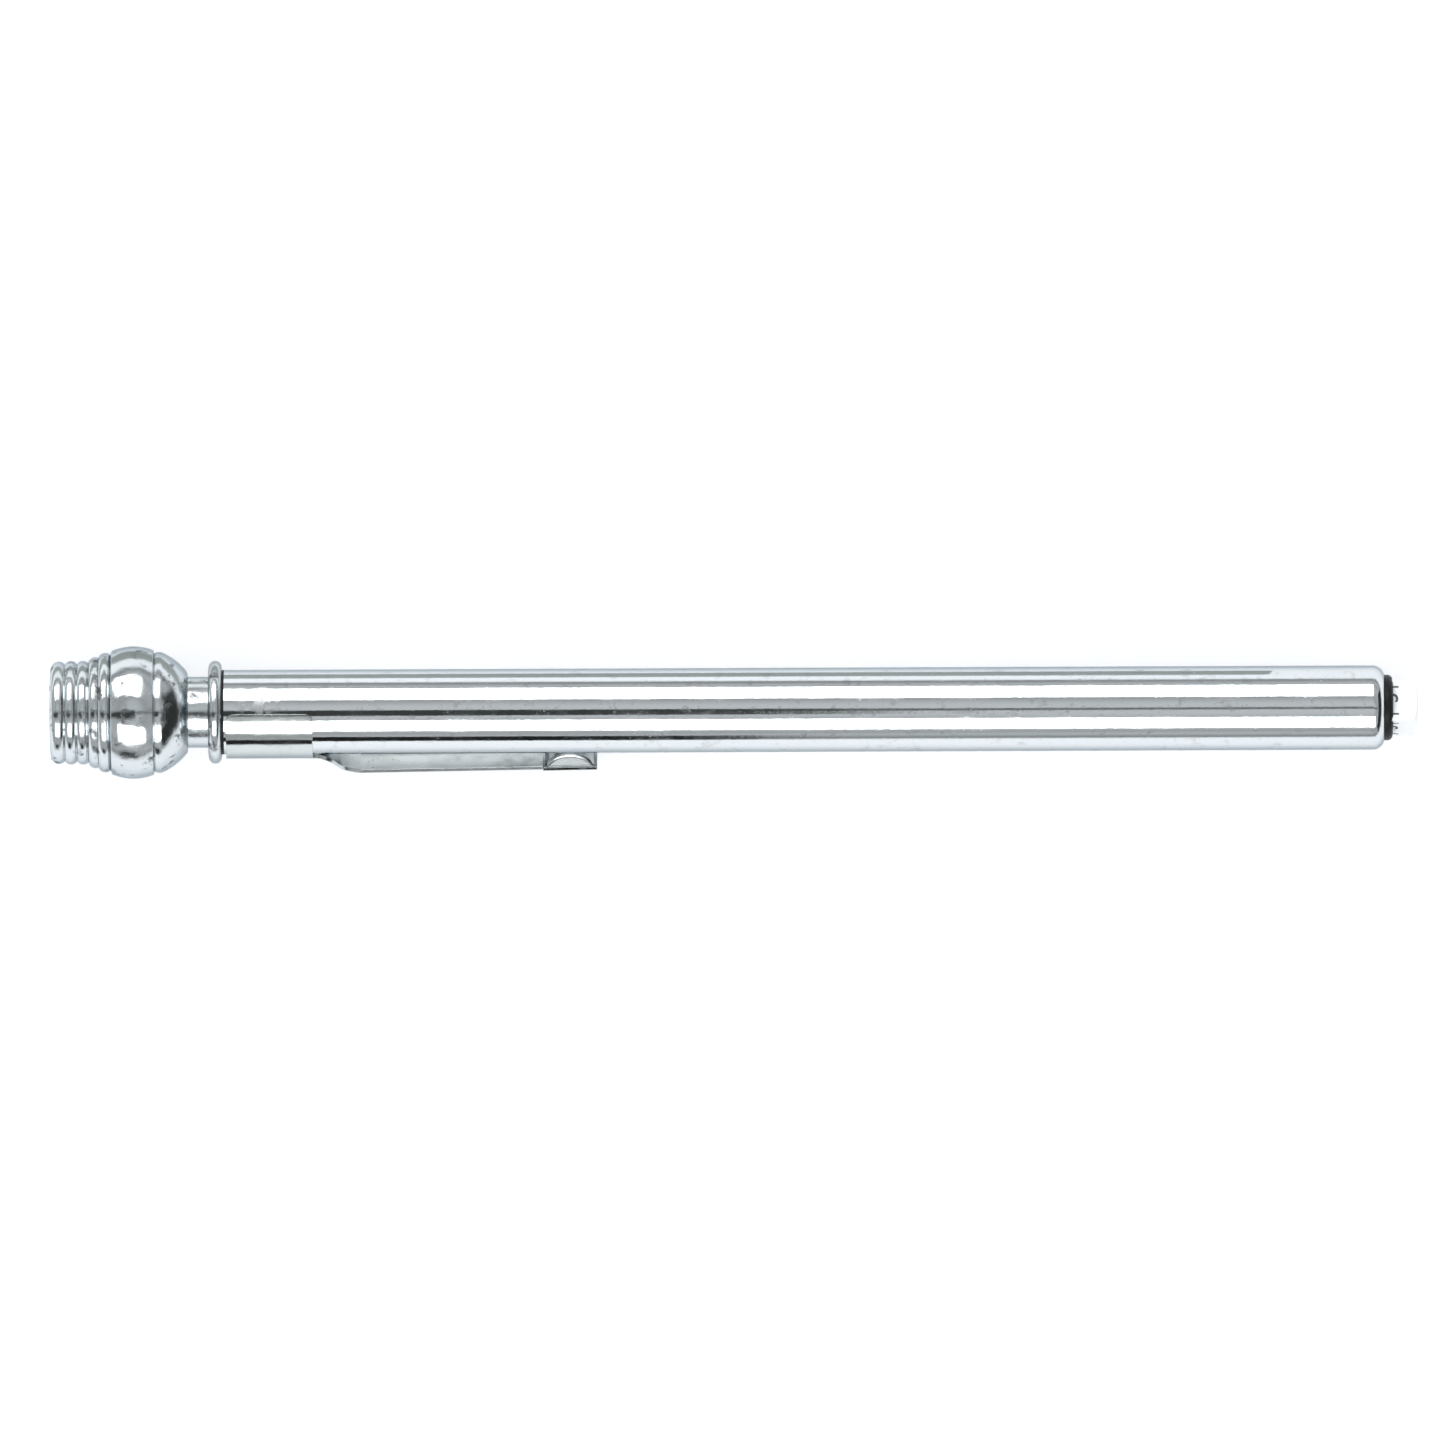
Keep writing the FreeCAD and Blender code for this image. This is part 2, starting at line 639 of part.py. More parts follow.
def make_piston_cup():
    """Rubber cup whose lip seals on the tube and opens towards the air."""
    lip = bore_radius - S.cup_gap
    waist = lip - S.cup_waist
    hole = S.rivet_radius + S.thread_gap
    lip_back = spigot_end + S.cup_lip_length
    return turned_piece("piston_cup", [
        (spigot_end, lip - S.cup_rim),
        (spigot_end, lip),
        (lip_back, lip),
        (lip_back + S.cup_waist, waist),
        (cup_back, waist),
        (cup_back, hole),
        (washer_back, hole),
        (washer_back, lip - S.cup_wall),
    ])


def make_cup_rivet():
    """Rivet that holds the washer and the cup on the plunger."""
    head_front = washer_front - S.rivet_head_length
    end = cup_back + S.rivet_grip
    crown = (S.rivet_head_radius * S.rivet_head_radius
             + S.rivet_head_length * S.rivet_head_length) / (S.rivet_head_length * 2)
    return turned_piece("cup_rivet", [
        (head_front, ZERO),
        (washer_front, S.rivet_head_radius, crown, "right"),
        (washer_front, S.rivet_radius),
        (end, S.rivet_radius),
        (end, ZERO),
    ])


def make_plunger():
    """Brass plunger: a flange under the spring and a pilot inside it that pushes the bar."""
    hole = S.rivet_radius + S.thread_gap
    flange = bore_radius - S.plunger_gap
    hole_end = cup_back + S.rivet_grip + S.thread_gap
    return turned_piece("plunger", [
        (cup_back, hole),
        (cup_back, flange),
        (flange_back, flange),
        (flange_back, pilot_radius),
        (plunger_end, pilot_radius),
        (plunger_end, ZERO),
        (hole_end, ZERO),
        (hole_end, hole),
    ])


def make_return_spring():
    """Wire spring between the plunger's flange and the spring seat, as a round wire swept along a helix."""
    reach = S.wire_radius + S.spring_end_gap
    start = flange_back + reach
    height = seat_front - reach - start
    radius = spring_outer - S.wire_radius
    path = doc.addObject("Part::Helix", "spring_path")
    path.SegmentLength = 1
    for prop, size in (("Radius", radius), ("Height", height), ("Pitch", height / S.spring_turns)):
        setattr(path, prop, size.value)
        path.setExpression(prop, size.text)
    wire = doc.addObject("Part::Circle", "spring_wire")
    wire.Radius = S.wire_radius.value
    wire.setExpression("Radius", S.wire_radius.text)
    wire.Placement = FreeCAD.Placement(Vector(radius.value, 0, 0), FreeCAD.Rotation(Vector(1, 0, 0), 90))
    wire.setExpression("Placement.Base.x", radius.text)
    doc.recompute()
    spring = doc.addObject("Part::Sweep", "return_spring")
    spring.Label = "return_spring"
    spring.Sections = [wire]
    spring.Spine = (path, [f"Edge{n + 1}" for n in range(len(path.Shape.Edges))])
    spring.Solid = True
    spring.Frenet = True
    spring.Placement = FreeCAD.Placement(Vector(start.value, 0, 0), FreeCAD.Rotation(Vector(0, 1, 0), 90))
    spring.setExpression("Placement.Base.x", start.text)
    return spring


def make_square_washer(name, front, back, gap):
    """A round washer with the bar's square hole."""
    body = turned_piece(name, [(front, ZERO), (front, stack_radius), (back, stack_radius), (back, ZERO)])
    square_hole(body, name + "_hole", gap, back, back - front)
    roll_about_axis(body, S.bar_roll)
    return body


def make_end_guide():
    """Moulded guide behind the rolled end, with a nose through the opening and a square hole for the bar."""
    name = "end_guide"
    shoulder = S.roll_radius - S.tube_wall - S.stack_gap
    nose_start = roll_x + leg(shoulder, guide_nose_radius - roll_y)
    body = turned_piece(name, [
        (guide_front, ZERO),
        (guide_front, stack_radius),
        (roll_x, stack_radius),
        (nose_start, guide_nose_radius, shoulder, "right"),
        (guide_back - S.guide_round, guide_nose_radius),
        (guide_back, guide_nose_radius - S.guide_round, S.guide_round, "right"),
        (guide_back, ZERO),
    ])
    square_hole(body, "guide_hole", S.guide_gap, guide_back, guide_back - guide_front)
    roll_about_axis(body, S.bar_roll)
    return body


def make_indicator_bar():
    """Square printed bar with a domed outer end and a round tenon for the stop collar at its inner end."""
    body = new_body("indicator_bar")
    sketch = new_sketch(body, "bar_section", "YZ_Plane", plunger_end)
    draw_outline(sketch, [
        (bar_half, -bar_flat),
        (bar_flat, -bar_half, S.bar_edge, "right"),
        (-bar_flat, -bar_half),
        (-bar_half, -bar_flat, S.bar_edge, "right"),
        (-bar_half, bar_flat),
        (-bar_flat, bar_half, S.bar_edge, "right"),
        (bar_flat, bar_half),
        (bar_half, bar_flat, S.bar_edge, "right"),
    ])
    extrude(body, "bar", sketch, bar_end - plunger_end)
    clear = bar_half * 2
    drop = S.bar_dome - leg(S.bar_dome, clear)
    revolve(body, "bar_end_dome", [
        (bar_end, ZERO),
        (bar_end - drop, clear, S.bar_dome, "left"),
        (bar_end + drop, clear),
        (bar_end + drop, ZERO),
    ], "Groove")
    tenon_end = plunger_end + S.collar_length
    revolve(body, "tenon", [
        (plunger_end - S.collar_length, S.tenon_radius),
        (plunger_end - S.collar_length, clear),
        (tenon_end, clear),
        (tenon_end, S.tenon_radius),
    ], "Groove")
    roll_about_axis(body, S.bar_roll)
    return body


pieces = [
    make_nose_cap(),
    make_valve_seal(),
    make_deflator_disc(),
    make_deflator_pin(),
    make_head_body(),
    ring("tube_gasket", bead_back, tube_front, spigot_radius + S.thread_gap, S.tube_radius),
    make_tube(),
    make_pocket_clip(),
    make_piston_cup(),
    ring("cup_washer", washer_front, washer_back, S.rivet_radius + S.thread_gap, S.washer_radius),
    make_cup_rivet(),
    make_plunger(),
    make_return_spring(),
    make_square_washer("spring_seat", seat_front, brake_front, S.seat_gap),
    make_square_washer("bar_brake", brake_front, guide_front, S.brake_gap),
    make_end_guide(),
    make_indicator_bar(),
    ring("stop_collar", plunger_end, plunger_end + S.collar_length, S.tenon_radius + S.thread_gap,
         pilot_radius),
]
doc.recompute()

failed = [o.Name for o in doc.Objects if "Invalid" in o.State or "Error" in o.State]
failed += [p.Label for p in pieces if p.Shape.isNull() or not p.Shape.isValid()]
failed += [p.Label for p in pieces if len(p.Shape.Solids) != 1]
if failed:
    raise SystemExit(f"failed features or pieces: {failed}")

os.makedirs("parts", exist_ok=True)
for piece in pieces:
    piece.Shape.exportStep(f"parts/{piece.Label}.step")
    box = piece.Shape.BoundBox
    print(f"{piece.Label:15} {piece.Shape.Volume:9.2f} mm3  x {box.XMin:7.2f} to {box.XMax:7.2f}"
          f"  y {box.YMin:6.2f} to {box.YMax:6.2f}  z {box.ZMin:6.2f} to {box.ZMax:6.2f}")
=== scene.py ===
import json
import math

import bmesh
import bpy
from mathutils import Matrix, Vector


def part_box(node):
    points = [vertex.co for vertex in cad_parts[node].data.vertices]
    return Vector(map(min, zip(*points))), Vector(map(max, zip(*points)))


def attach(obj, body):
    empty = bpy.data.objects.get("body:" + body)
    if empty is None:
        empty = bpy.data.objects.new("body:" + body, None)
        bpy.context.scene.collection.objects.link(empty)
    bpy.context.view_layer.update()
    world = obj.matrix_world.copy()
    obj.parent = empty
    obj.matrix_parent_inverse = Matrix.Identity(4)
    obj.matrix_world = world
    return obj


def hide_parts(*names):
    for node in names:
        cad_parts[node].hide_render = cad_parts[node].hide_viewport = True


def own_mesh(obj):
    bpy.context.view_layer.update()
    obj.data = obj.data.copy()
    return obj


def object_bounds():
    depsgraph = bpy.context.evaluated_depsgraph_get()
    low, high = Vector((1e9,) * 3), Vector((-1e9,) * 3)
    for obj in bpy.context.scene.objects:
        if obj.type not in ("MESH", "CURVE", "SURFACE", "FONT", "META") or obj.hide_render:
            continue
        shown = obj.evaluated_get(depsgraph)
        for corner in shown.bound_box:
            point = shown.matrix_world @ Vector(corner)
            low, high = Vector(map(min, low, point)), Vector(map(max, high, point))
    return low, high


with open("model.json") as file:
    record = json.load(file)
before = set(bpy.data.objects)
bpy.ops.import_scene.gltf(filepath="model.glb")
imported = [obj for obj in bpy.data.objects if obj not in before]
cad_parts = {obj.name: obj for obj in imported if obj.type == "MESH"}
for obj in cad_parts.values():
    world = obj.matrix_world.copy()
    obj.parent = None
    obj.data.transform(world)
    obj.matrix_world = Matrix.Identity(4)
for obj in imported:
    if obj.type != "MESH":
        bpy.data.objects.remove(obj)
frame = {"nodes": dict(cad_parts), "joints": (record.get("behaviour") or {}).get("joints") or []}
cad_low, cad_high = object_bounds()


# Valve seal: a moulded ring of black nitrile rubber that the valve's rim is pressed onto. It drops into the
# nose from behind, ahead of the brass disc. The tube's gasket, the piston's cup and the bar's brake are made
# of the same rubber.
MM = 0.001
nodes = frame["nodes"]


def feed(socket, value):
    """Set an input to a number, a vector or a colour, or link an output to it."""
    if isinstance(value, bpy.types.NodeSocket):
        socket.id_data.links.new(value, socket)
    else:
        socket.default_value = value


def shared_group(name, inputs, outputs):
    """A shader node group, its given sockets and its result sockets. An input is (name, kind, value), and an
    output is (name, kind)."""
    group = bpy.data.node_groups.new(name, "ShaderNodeTree")
    for label, kind, value in inputs:
        socket = group.interface.new_socket(label, in_out="INPUT", socket_type="NodeSocket" + kind)
        socket.default_value = value
    for label, kind in outputs:
        group.interface.new_socket(label, in_out="OUTPUT", socket_type="NodeSocket" + kind)
    given = group.nodes.new("NodeGroupInput")
    result = group.nodes.new("NodeGroupOutput")
    return group, given.outputs, result.inputs


def add_noise(tree, where, scale, detail, roughness=0.5):
    """Cloudy noise over the surface, where scale is its waves a metre."""
    noise = tree.nodes.new("ShaderNodeTexNoise")
    feed(noise.inputs["Vector"], where)
    feed(noise.inputs["Scale"], scale)
    feed(noise.inputs["Detail"], detail)
    feed(noise.inputs["Roughness"], roughness)
    return noise.outputs["Fac"]


def add_math(tree, operation, first, second=0.0, clamp=False):
    """Arithmetic on two operands, each a number or an output."""
    node = tree.nodes.new("ShaderNodeMath")
    node.operation = operation
    node.use_clamp = clamp
    feed(node.inputs[0], first)
    feed(node.inputs[1], second)
    return node.outputs[0]


def add_range(tree, value, low, high):
    """0 where the value is at low or past it, 1 where it is at high or past it, and even in between."""
    node = tree.nodes.new("ShaderNodeMapRange")
    feed(node.inputs["Value"], value)
    feed(node.inputs["From Min"], low)
    feed(node.inputs["From Max"], high)
    return node.outputs["Result"]


def add_mix(tree, amount, under, over):
    """One colour laid over another by an amount."""
    mix = tree.nodes.new("ShaderNodeMix")
    mix.data_type = "RGBA"
    feed(mix.inputs["Factor"], amount)
    feed(mix.inputs["A"], under)
    feed(mix.inputs["B"], over)
    return mix.outputs["Result"]


def make_moulded_skin():
    """The fine matt skin that a mould leaves on rubber or plastic, with a dusting of pale lint."""
    group, given, result = shared_group(
        "moulded_skin",
        [("Position", "Vector", (0, 0, 0)), ("Body Color", "Color", (0.03, 0.03, 0.03, 1)),
         ("Dust Color", "Color", (0.3, 0.3, 0.3, 1)), ("Grain", "Float", 9000.0), ("Dust", "Float", 0.3),
         ("Sheen Low", "Float", 0.4), ("Sheen High", "Float", 0.6)],
        [("Color", "Color"), ("Roughness", "Float"), ("Height", "Float")])
    grain = add_noise(group, given["Position"], scale=given["Grain"], detail=4.0, roughness=0.6)
    cloud = add_noise(group, given["Position"], scale=350.0, detail=3.0)
    specks = add_range(group, grain, low=0.60, high=0.74)
    patches = add_range(group, cloud, low=0.48, high=0.7)
    lint = add_math(group, "MULTIPLY", specks, patches)
    dust = add_math(group, "MULTIPLY", lint, given["Dust"], clamp=True)
    feed(result["Color"], add_mix(group, dust, given["Body Color"], given["Dust Color"]))
    spread = add_math(group, "SUBTRACT", given["Sheen High"], given["Sheen Low"])
    sheen = add_math(group, "MULTIPLY", cloud, spread)
    feed(result["Roughness"], add_math(group, "ADD", sheen, given["Sheen Low"]))
    feed(result["Height"], grain)
    return group


def new_finish(name):
    """An empty material and its shader."""
    material = bpy.data.materials.new(name)
    material.use_nodes = True
    tree = material.node_tree
    tree.nodes.clear()
    shader = tree.nodes.new("ShaderNodeBsdfPrincipled")
    out = tree.nodes.new("ShaderNodeOutputMaterial")
    tree.links.new(shader.outputs["BSDF"], out.inputs["Surface"])
    return material, shader


def lay_on(shader, group, strength, depth, **values):
    """Lay a shared group over a shader, with this finish's own values for its inputs. The group gives the
    colour, the roughness and the height of a bump, whose node is returned."""
    tree = shader.id_data
    skin = tree.nodes.new("ShaderNodeGroup")
    skin.node_tree = group
    where = tree.nodes.new("ShaderNodeTexCoord")
    feed(skin.inputs["Position"], where.outputs["Object"])
    for label, value in values.items():
        feed(skin.inputs[label.replace("_", " ")], value)
    bump = tree.nodes.new("ShaderNodeBump")
    feed(bump.inputs["Strength"], strength)
    feed(bump.inputs["Distance"], depth)
    feed(bump.inputs["Height"], skin.outputs["Height"])
    feed(shader.inputs["Base Color"], skin.outputs["Color"])
    feed(shader.inputs["Roughness"], skin.outputs["Roughness"])
    feed(shader.inputs["Normal"], bump.outputs["Normal"])
    return bump


def dress(material, *names):
    """Give CAD nodes this material in place of their plain one."""
    for name in names:
        for slot in nodes[name].material_slots:
            slot.material = material


moulded_skin = make_moulded_skin()


def make_seal_rubber():
    rubber, shader = new_finish("seal_rubber_finish")
    shader.inputs["Specular IOR Level"].default_value = 0.15
    lay_on(shader, moulded_skin, strength=0.35, depth=0.03 * MM, Body_Color=(0.012, 0.012, 0.013, 1),
           Dust_Color=(0.22, 0.21, 0.2, 1), Grain=11000.0, Dust=0.3, Sheen_Low=0.42, Sheen_High=0.72)
    return rubber


dress(make_seal_rubber(), "valve_seal", "tube_gasket", "piston_cup", "bar_brake")


# Deflator: a brass disc with four air holes and a riveted pin, turned on an automatic lathe. It screws into
# the nose's skirt behind the seal, and the pin pushes the tyre valve open. The piston's brass parts and the
# bar's stop collar are turned the same way.
def make_lathe_marks():
    """Rings that a turning tool leaves round the X axis, with patches where the metal has dulled."""
    group, given, result = shared_group(
        "lathe_marks",
        [("Position", "Vector", (0, 0, 0)), ("Metal Color", "Color", (0.8, 0.6, 0.3, 1)),
         ("Dull Color", "Color", (0.4, 0.3, 0.15, 1)), ("Feed", "Float", 12000.0), ("Dulling", "Float", 0.4),
         ("Polish", "Float", 0.2)],
        [("Color", "Color"), ("Roughness", "Float"), ("Height", "Float")])
    split = group.nodes.new("ShaderNodeSeparateXYZ")
    feed(split.inputs["Vector"], given["Position"])
    across = [add_math(group, "POWER", split.outputs[side], 2.0) for side in ("Y", "Z")]
    radius = add_math(group, "SQRT", add_math(group, "ADD", *across))
    along = add_math(group, "ADD", split.outputs["X"], radius)
    line = group.nodes.new("ShaderNodeCombineXYZ")
    feed(line.inputs["X"], add_math(group, "MULTIPLY", along, given["Feed"]))
    rings = add_noise(group, line.outputs["Vector"], scale=1.0, detail=2.0)
    cloud = add_noise(group, given["Position"], scale=420.0, detail=4.0)
    patches = add_range(group, cloud, low=0.42, high=0.72)
    dulling = add_math(group, "MULTIPLY", patches, given["Dulling"], clamp=True)
    feed(result["Color"], add_mix(group, dulling, given["Metal Color"], given["Dull Color"]))
    roughening = 0.22
    blur = add_math(group, "MULTIPLY", add_math(group, "ADD", dulling, rings), roughening)
    feed(result["Roughness"], add_math(group, "ADD", blur, given["Polish"], clamp=True))
    feed(result["Height"], rings)
    return group


lathe_marks = make_lathe_marks()


def make_turned_brass():
    brass, shader = new_finish("turned_brass_finish")
    shader.inputs["Metallic"].default_value = 1.0
    lay_on(shader, lathe_marks, strength=0.3, depth=0.006 * MM, Metal_Color=(0.78, 0.58, 0.28, 1),
           Dull_Color=(0.36, 0.23, 0.1, 1), Feed=9000.0, Dulling=0.55, Polish=0.2)
    return brass


dress(make_turned_brass(), "deflator_disc", "deflator_pin", "cup_washer", "cup_rivet", "plunger",
      "stop_collar")


# Ball head: the ribbed nose and the banded ball with its neck and bead are turned from zinc castings,
# polished and bright chrome plated. The nose screws into the ball, and the spigot behind the bead is pressed
# into the tube.
def add_streaks(tree, where, scale, detail, roughness=0.5, turn=(0, 0, 0)):
    """Noise drawn out into streaks: scale is its waves a metre along each axis, turned by turn."""
    place = tree.nodes.new("ShaderNodeMapping")
    feed(place.inputs["Rotation"], turn)
    feed(place.inputs["Scale"], scale)
    feed(place.inputs["Vector"], where)
    return add_noise(tree, place.outputs["Vector"], scale=1.0, detail=detail, roughness=roughness)


def make_chrome_wear():
    """Wear on bright plate: hairline scratches, pin-point pits, dark stains, a haze of handling and a scuffed
    spot, over a surface that was never quite flat: broad polishing waves and a fine grain."""
    group, given, result = shared_group(
        "chrome_wear",
        [("Position", "Vector", (0, 0, 0)), ("Plate Color", "Color", (0.8, 0.81, 0.83, 1)),
         ("Dull Color", "Color", (0.45, 0.44, 0.42, 1)), ("Stain Color", "Color", (0.1, 0.08, 0.06, 1)),
         ("Polish", "Float", 0.04), ("Haze", "Float", 0.1), ("Scratches", "Float", 0.3),
         ("Pits", "Float", 0.3), ("Stains", "Float", 0.2), ("Waves", "Float", 0.3), ("Grain", "Float", 0.3),
         ("Scuff", "Float", 0.0)],
        [("Color", "Color"), ("Roughness", "Float"), ("Height", "Float")])
    where = given["Position"]
    hairline = 0.05
    hairs = []
    for turn, scale, density in ((0.35, (900.0, 14000.0, 14000.0), 0.70),
                                 (-0.9, (14000.0, 1100.0, 9000.0), 0.72)):
        streaks = add_streaks(group, where, scale, detail=1.0, turn=(turn, turn * 0.4, turn))
        hairs.append(add_range(group, streaks, low=density, high=density + hairline))
    cloud = add_noise(group, where, scale=180.0, detail=4.0, roughness=0.6)
    mottle = add_noise(group, where, scale=650.0, detail=5.0, roughness=0.6)
    swell = add_noise(group, where, scale=380.0, detail=1.5, roughness=0.6)
    patches = add_range(group, cloud, low=0.40, high=0.62)
    hatching = add_math(group, "MULTIPLY", add_math(group, "MAXIMUM", *hairs), patches)
    scratches = add_math(group, "MULTIPLY", hatching, given["Scratches"], clamp=True)
    cells = group.nodes.new("ShaderNodeTexVoronoi")
    cells.inputs["Scale"].default_value = 1500.0
    feed(cells.inputs["Vector"], where)
    points = add_range(group, cells.outputs["Distance"], low=0.2, high=0.1)
    pitting = add_math(group, "MULTIPLY", patches, given["Pits"])
    pits = add_math(group, "MULTIPLY", points, pitting, clamp=True)
    spots = add_range(group, mottle, low=0.57, high=0.68)
    stains = add_math(group, "MULTIPLY", spots, given["Stains"], clamp=True)
    rubs = add_range(group, mottle, low=0.44, high=0.58)
    scuff = add_math(group, "MULTIPLY", rubs, given["Scuff"], clamp=True)
    wear = add_math(group, "MAXIMUM", add_math(group, "MAXIMUM", scratches, pits), scuff)
    worn_color = add_mix(group, wear, given["Plate Color"], given["Dull Color"])
    feed(result["Color"], add_mix(group, stains, worn_color, given["Stain Color"]))
    roughening = 0.35
    haze = add_math(group, "MULTIPLY", patches, given["Haze"])
    blur = add_math(group, "MULTIPLY", add_math(group, "ADD", wear, stains), roughening)
    rough = add_math(group, "ADD", haze, blur)
    feed(result["Roughness"], add_math(group, "ADD", rough, given["Polish"], clamp=True))
    denting = 0.35
    fine = add_streaks(group, where, (2500.0, 5000.0, 5000.0), detail=3.0, roughness=0.6)
    waves = add_math(group, "MULTIPLY", swell, given["Waves"])
    grain = add_math(group, "MULTIPLY", fine, given["Grain"])
    dents = add_math(group, "MULTIPLY", wear, denting)
    relief = add_math(group, "ADD", waves, grain)
    feed(result["Height"], add_math(group, "SUBTRACT", relief, dents))
    return group


chrome_wear = make_chrome_wear()


def make_plate(name, depth, edge, scuffed=None, **wear):
    """Bright metal plate with its own measure of wear. depth is what a height of one stands for, edge is how
    far the piece's edges are softened, and scuffed is the middle of a rubbed spot, if it has one."""
    material, shader = new_finish(name)
    tree = material.node_tree
    if scuffed:
        spot_rim, spot_core = 3.0 * MM, 1.1 * MM
        where = tree.nodes.new("ShaderNodeTexCoord")
        apart = tree.nodes.new("ShaderNodeVectorMath")
        apart.operation = "DISTANCE"
        feed(apart.inputs[0], where.outputs["Object"])
        feed(apart.inputs[1], scuffed)
        wear["Scuff"] = add_range(tree, apart.outputs["Value"], low=spot_rim, high=spot_core)
    shader.inputs["Metallic"].default_value = 1.0
    shader.inputs["Specular Tint"].default_value = (0.55, 0.6, 0.63, 1)
    bump = lay_on(shader, chrome_wear, strength=1.0, depth=depth, **wear)
    soft = tree.nodes.new("ShaderNodeBevel")
    soft.inputs["Radius"].default_value = edge
    feed(bump.inputs["Normal"], soft.outputs["Normal"])
    return material


head_chrome = make_plate("head_chrome_finish", depth=0.004 * MM, edge=0.22 * MM,
                         Plate_Color=(0.5, 0.535, 0.55, 1), Stain_Color=(0.07, 0.075, 0.08, 1), Polish=0.08,
                         Haze=0.1, Scratches=0.6, Pits=0.6, Stains=0.9, Waves=26.0, Grain=1.8)
dress(head_chrome, "nose_cap", "head_body")


# Tube: drawn brass tube, bright chrome plated, with fine scratches and pits and one rubbed spot near the
# head. Its front end is pressed over the head's spigot against a thin rubber gasket, and its tail is rolled in
# over the end guide.
tube_chrome = make_plate("tube_chrome_finish", depth=0.004 * MM, edge=0.05 * MM,
                         scuffed=(23.3 * MM, 1.1 * MM, 4.6 * MM), Plate_Color=(0.55, 0.58, 0.595, 1),
                         Dull_Color=(0.38, 0.39, 0.4, 1), Polish=0.05, Haze=0.06, Scratches=0.5, Pits=0.6,
                         Stains=0.2, Waves=1.5, Grain=0.7)
dress(tube_chrome, "tube")


# Spring and its seat: a calibrated coil of drawn spring wire, with a stamped washer behind it that also stops
# the bar's collar. The coil stands between the plunger's flange and the washer, and shortens as the plunger
# moves.
def make_drawn_steel():
    steel, shader = new_finish("drawn_steel_finish")
    shader.inputs["Metallic"].default_value = 1.0
    lay_on(shader, lathe_marks, strength=0.3, depth=0.005 * MM, Metal_Color=(0.5, 0.5, 0.51, 1),
           Dull_Color=(0.22, 0.21, 0.2, 1), Feed=15000.0, Dulling=0.5, Polish=0.25)
    return steel


drawn_steel = make_drawn_steel()
dress(drawn_steel, "spring_seat")


def travel_of(name):
    """How far a joint slides from rest."""
    return next(joint for joint in frame["joints"] if joint["name"] == name)["range_m"][1]


def make_spring_coil():
    """The wire on its helix, as one mesh."""
    wire = 0.36 * MM
    turns = 17
    points_a_turn = 24
    low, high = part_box("return_spring")
    radius = (high.y - low.y) / 2 - wire
    start, end = low.x + wire, high.x - wire
    line = bpy.data.curves.new("spring_coil_line", "CURVE")
    line.dimensions = "3D"
    line.bevel_depth = wire
    line.bevel_resolution = 3
    line.use_fill_caps = True
    spline = line.splines.new("POLY")
    count = turns * points_a_turn
    spline.points.add(count)
    for step, point in enumerate(spline.points):
        angle = math.tau * step / points_a_turn
        along = start + (end - start) * step / count
        point.co = (along, radius * math.sin(angle), radius * math.cos(angle), 1)
    holder = bpy.data.objects.new("spring_coil_line", line)
    coil = bpy.data.objects.new("spring_coil", bpy.data.meshes.new_from_object(holder))
    bpy.data.objects.remove(holder)
    bpy.data.curves.remove(line)
    coil.data.shade_smooth()
    coil.data.materials.clear()
    coil.data.materials.append(drawn_steel)
    bpy.context.scene.collection.objects.link(coil)
    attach(coil, "barrel")
    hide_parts("return_spring")
    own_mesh(coil)


make_spring_coil()


# End guide: a small moulding of black acetal behind the tube's rolled tail. Its rounded nose shows through
# the rolled opening, and its square hole keeps the bar from turning.
def make_guide_plastic():
    plastic, shader = new_finish("guide_plastic_finish")
    shader.inputs["Specular IOR Level"].default_value = 0.1
    lay_on(shader, moulded_skin, strength=0.25, depth=0.02 * MM, Body_Color=(0.01, 0.011, 0.011, 1),
           Dust_Color=(0.35, 0.34, 0.32, 1), Grain=7000.0, Dust=0.3, Sheen_Low=0.28, Sheen_High=0.5)
    return plastic


dress(make_guide_plastic(), "end_guide")


# Indicator bar: a square moulding of slightly see-through white nylon, with a black scale printed on all four
# faces. A brass collar on its inner end stops it from coming out of the tube.
def make_bar_nylon():
    nylon, shader = new_finish("bar_nylon_finish")
    shader.inputs["Subsurface Weight"].default_value = 0.25
    shader.inputs["Subsurface Radius"].default_value = (1.0, 0.9, 0.8)
    shader.inputs["Subsurface Scale"].default_value = 0.8 * MM
    lay_on(shader, moulded_skin, strength=0.12, depth=0.02 * MM, Body_Color=(0.62, 0.645, 0.66, 1),
           Dust_Color=(0.5, 0.47, 0.42, 1), Grain=5000.0, Dust=0.3, Sheen_Low=0.25, Sheen_High=0.42)
    return nylon


dress(make_bar_nylon(), "indicator_bar")


def make_scale_ink():
    ink, shader = new_finish("scale_ink_finish")
    lay_on(shader, moulded_skin, strength=0.2, depth=0.01 * MM, Body_Color=(0.02, 0.02, 0.022, 1),
           Dust_Color=(0.5, 0.5, 0.5, 1), Grain=16000.0, Dust=0.5, Sheen_Low=0.35, Sheen_High=0.55)
    return ink


def add_ink_patch(mesh, low, high, thick):
    """One printed stroke: a thin box from low to high, as (along, across), sitting on the face."""
    outline = ((low[0], low[1]), (high[0], low[1]), (high[0], high[1]), (low[0], high[1]))
    made = [mesh.verts.new((along, across, up)) for up in (0, thick) for along, across in outline]
    for ring in ((3, 2, 1, 0), (4, 5, 6, 7), (0, 1, 5, 4), (1, 2, 6, 5), (2, 3, 7, 6), (3, 0, 4, 7)):
        mesh.faces.new([made[corner] for corner in ring])


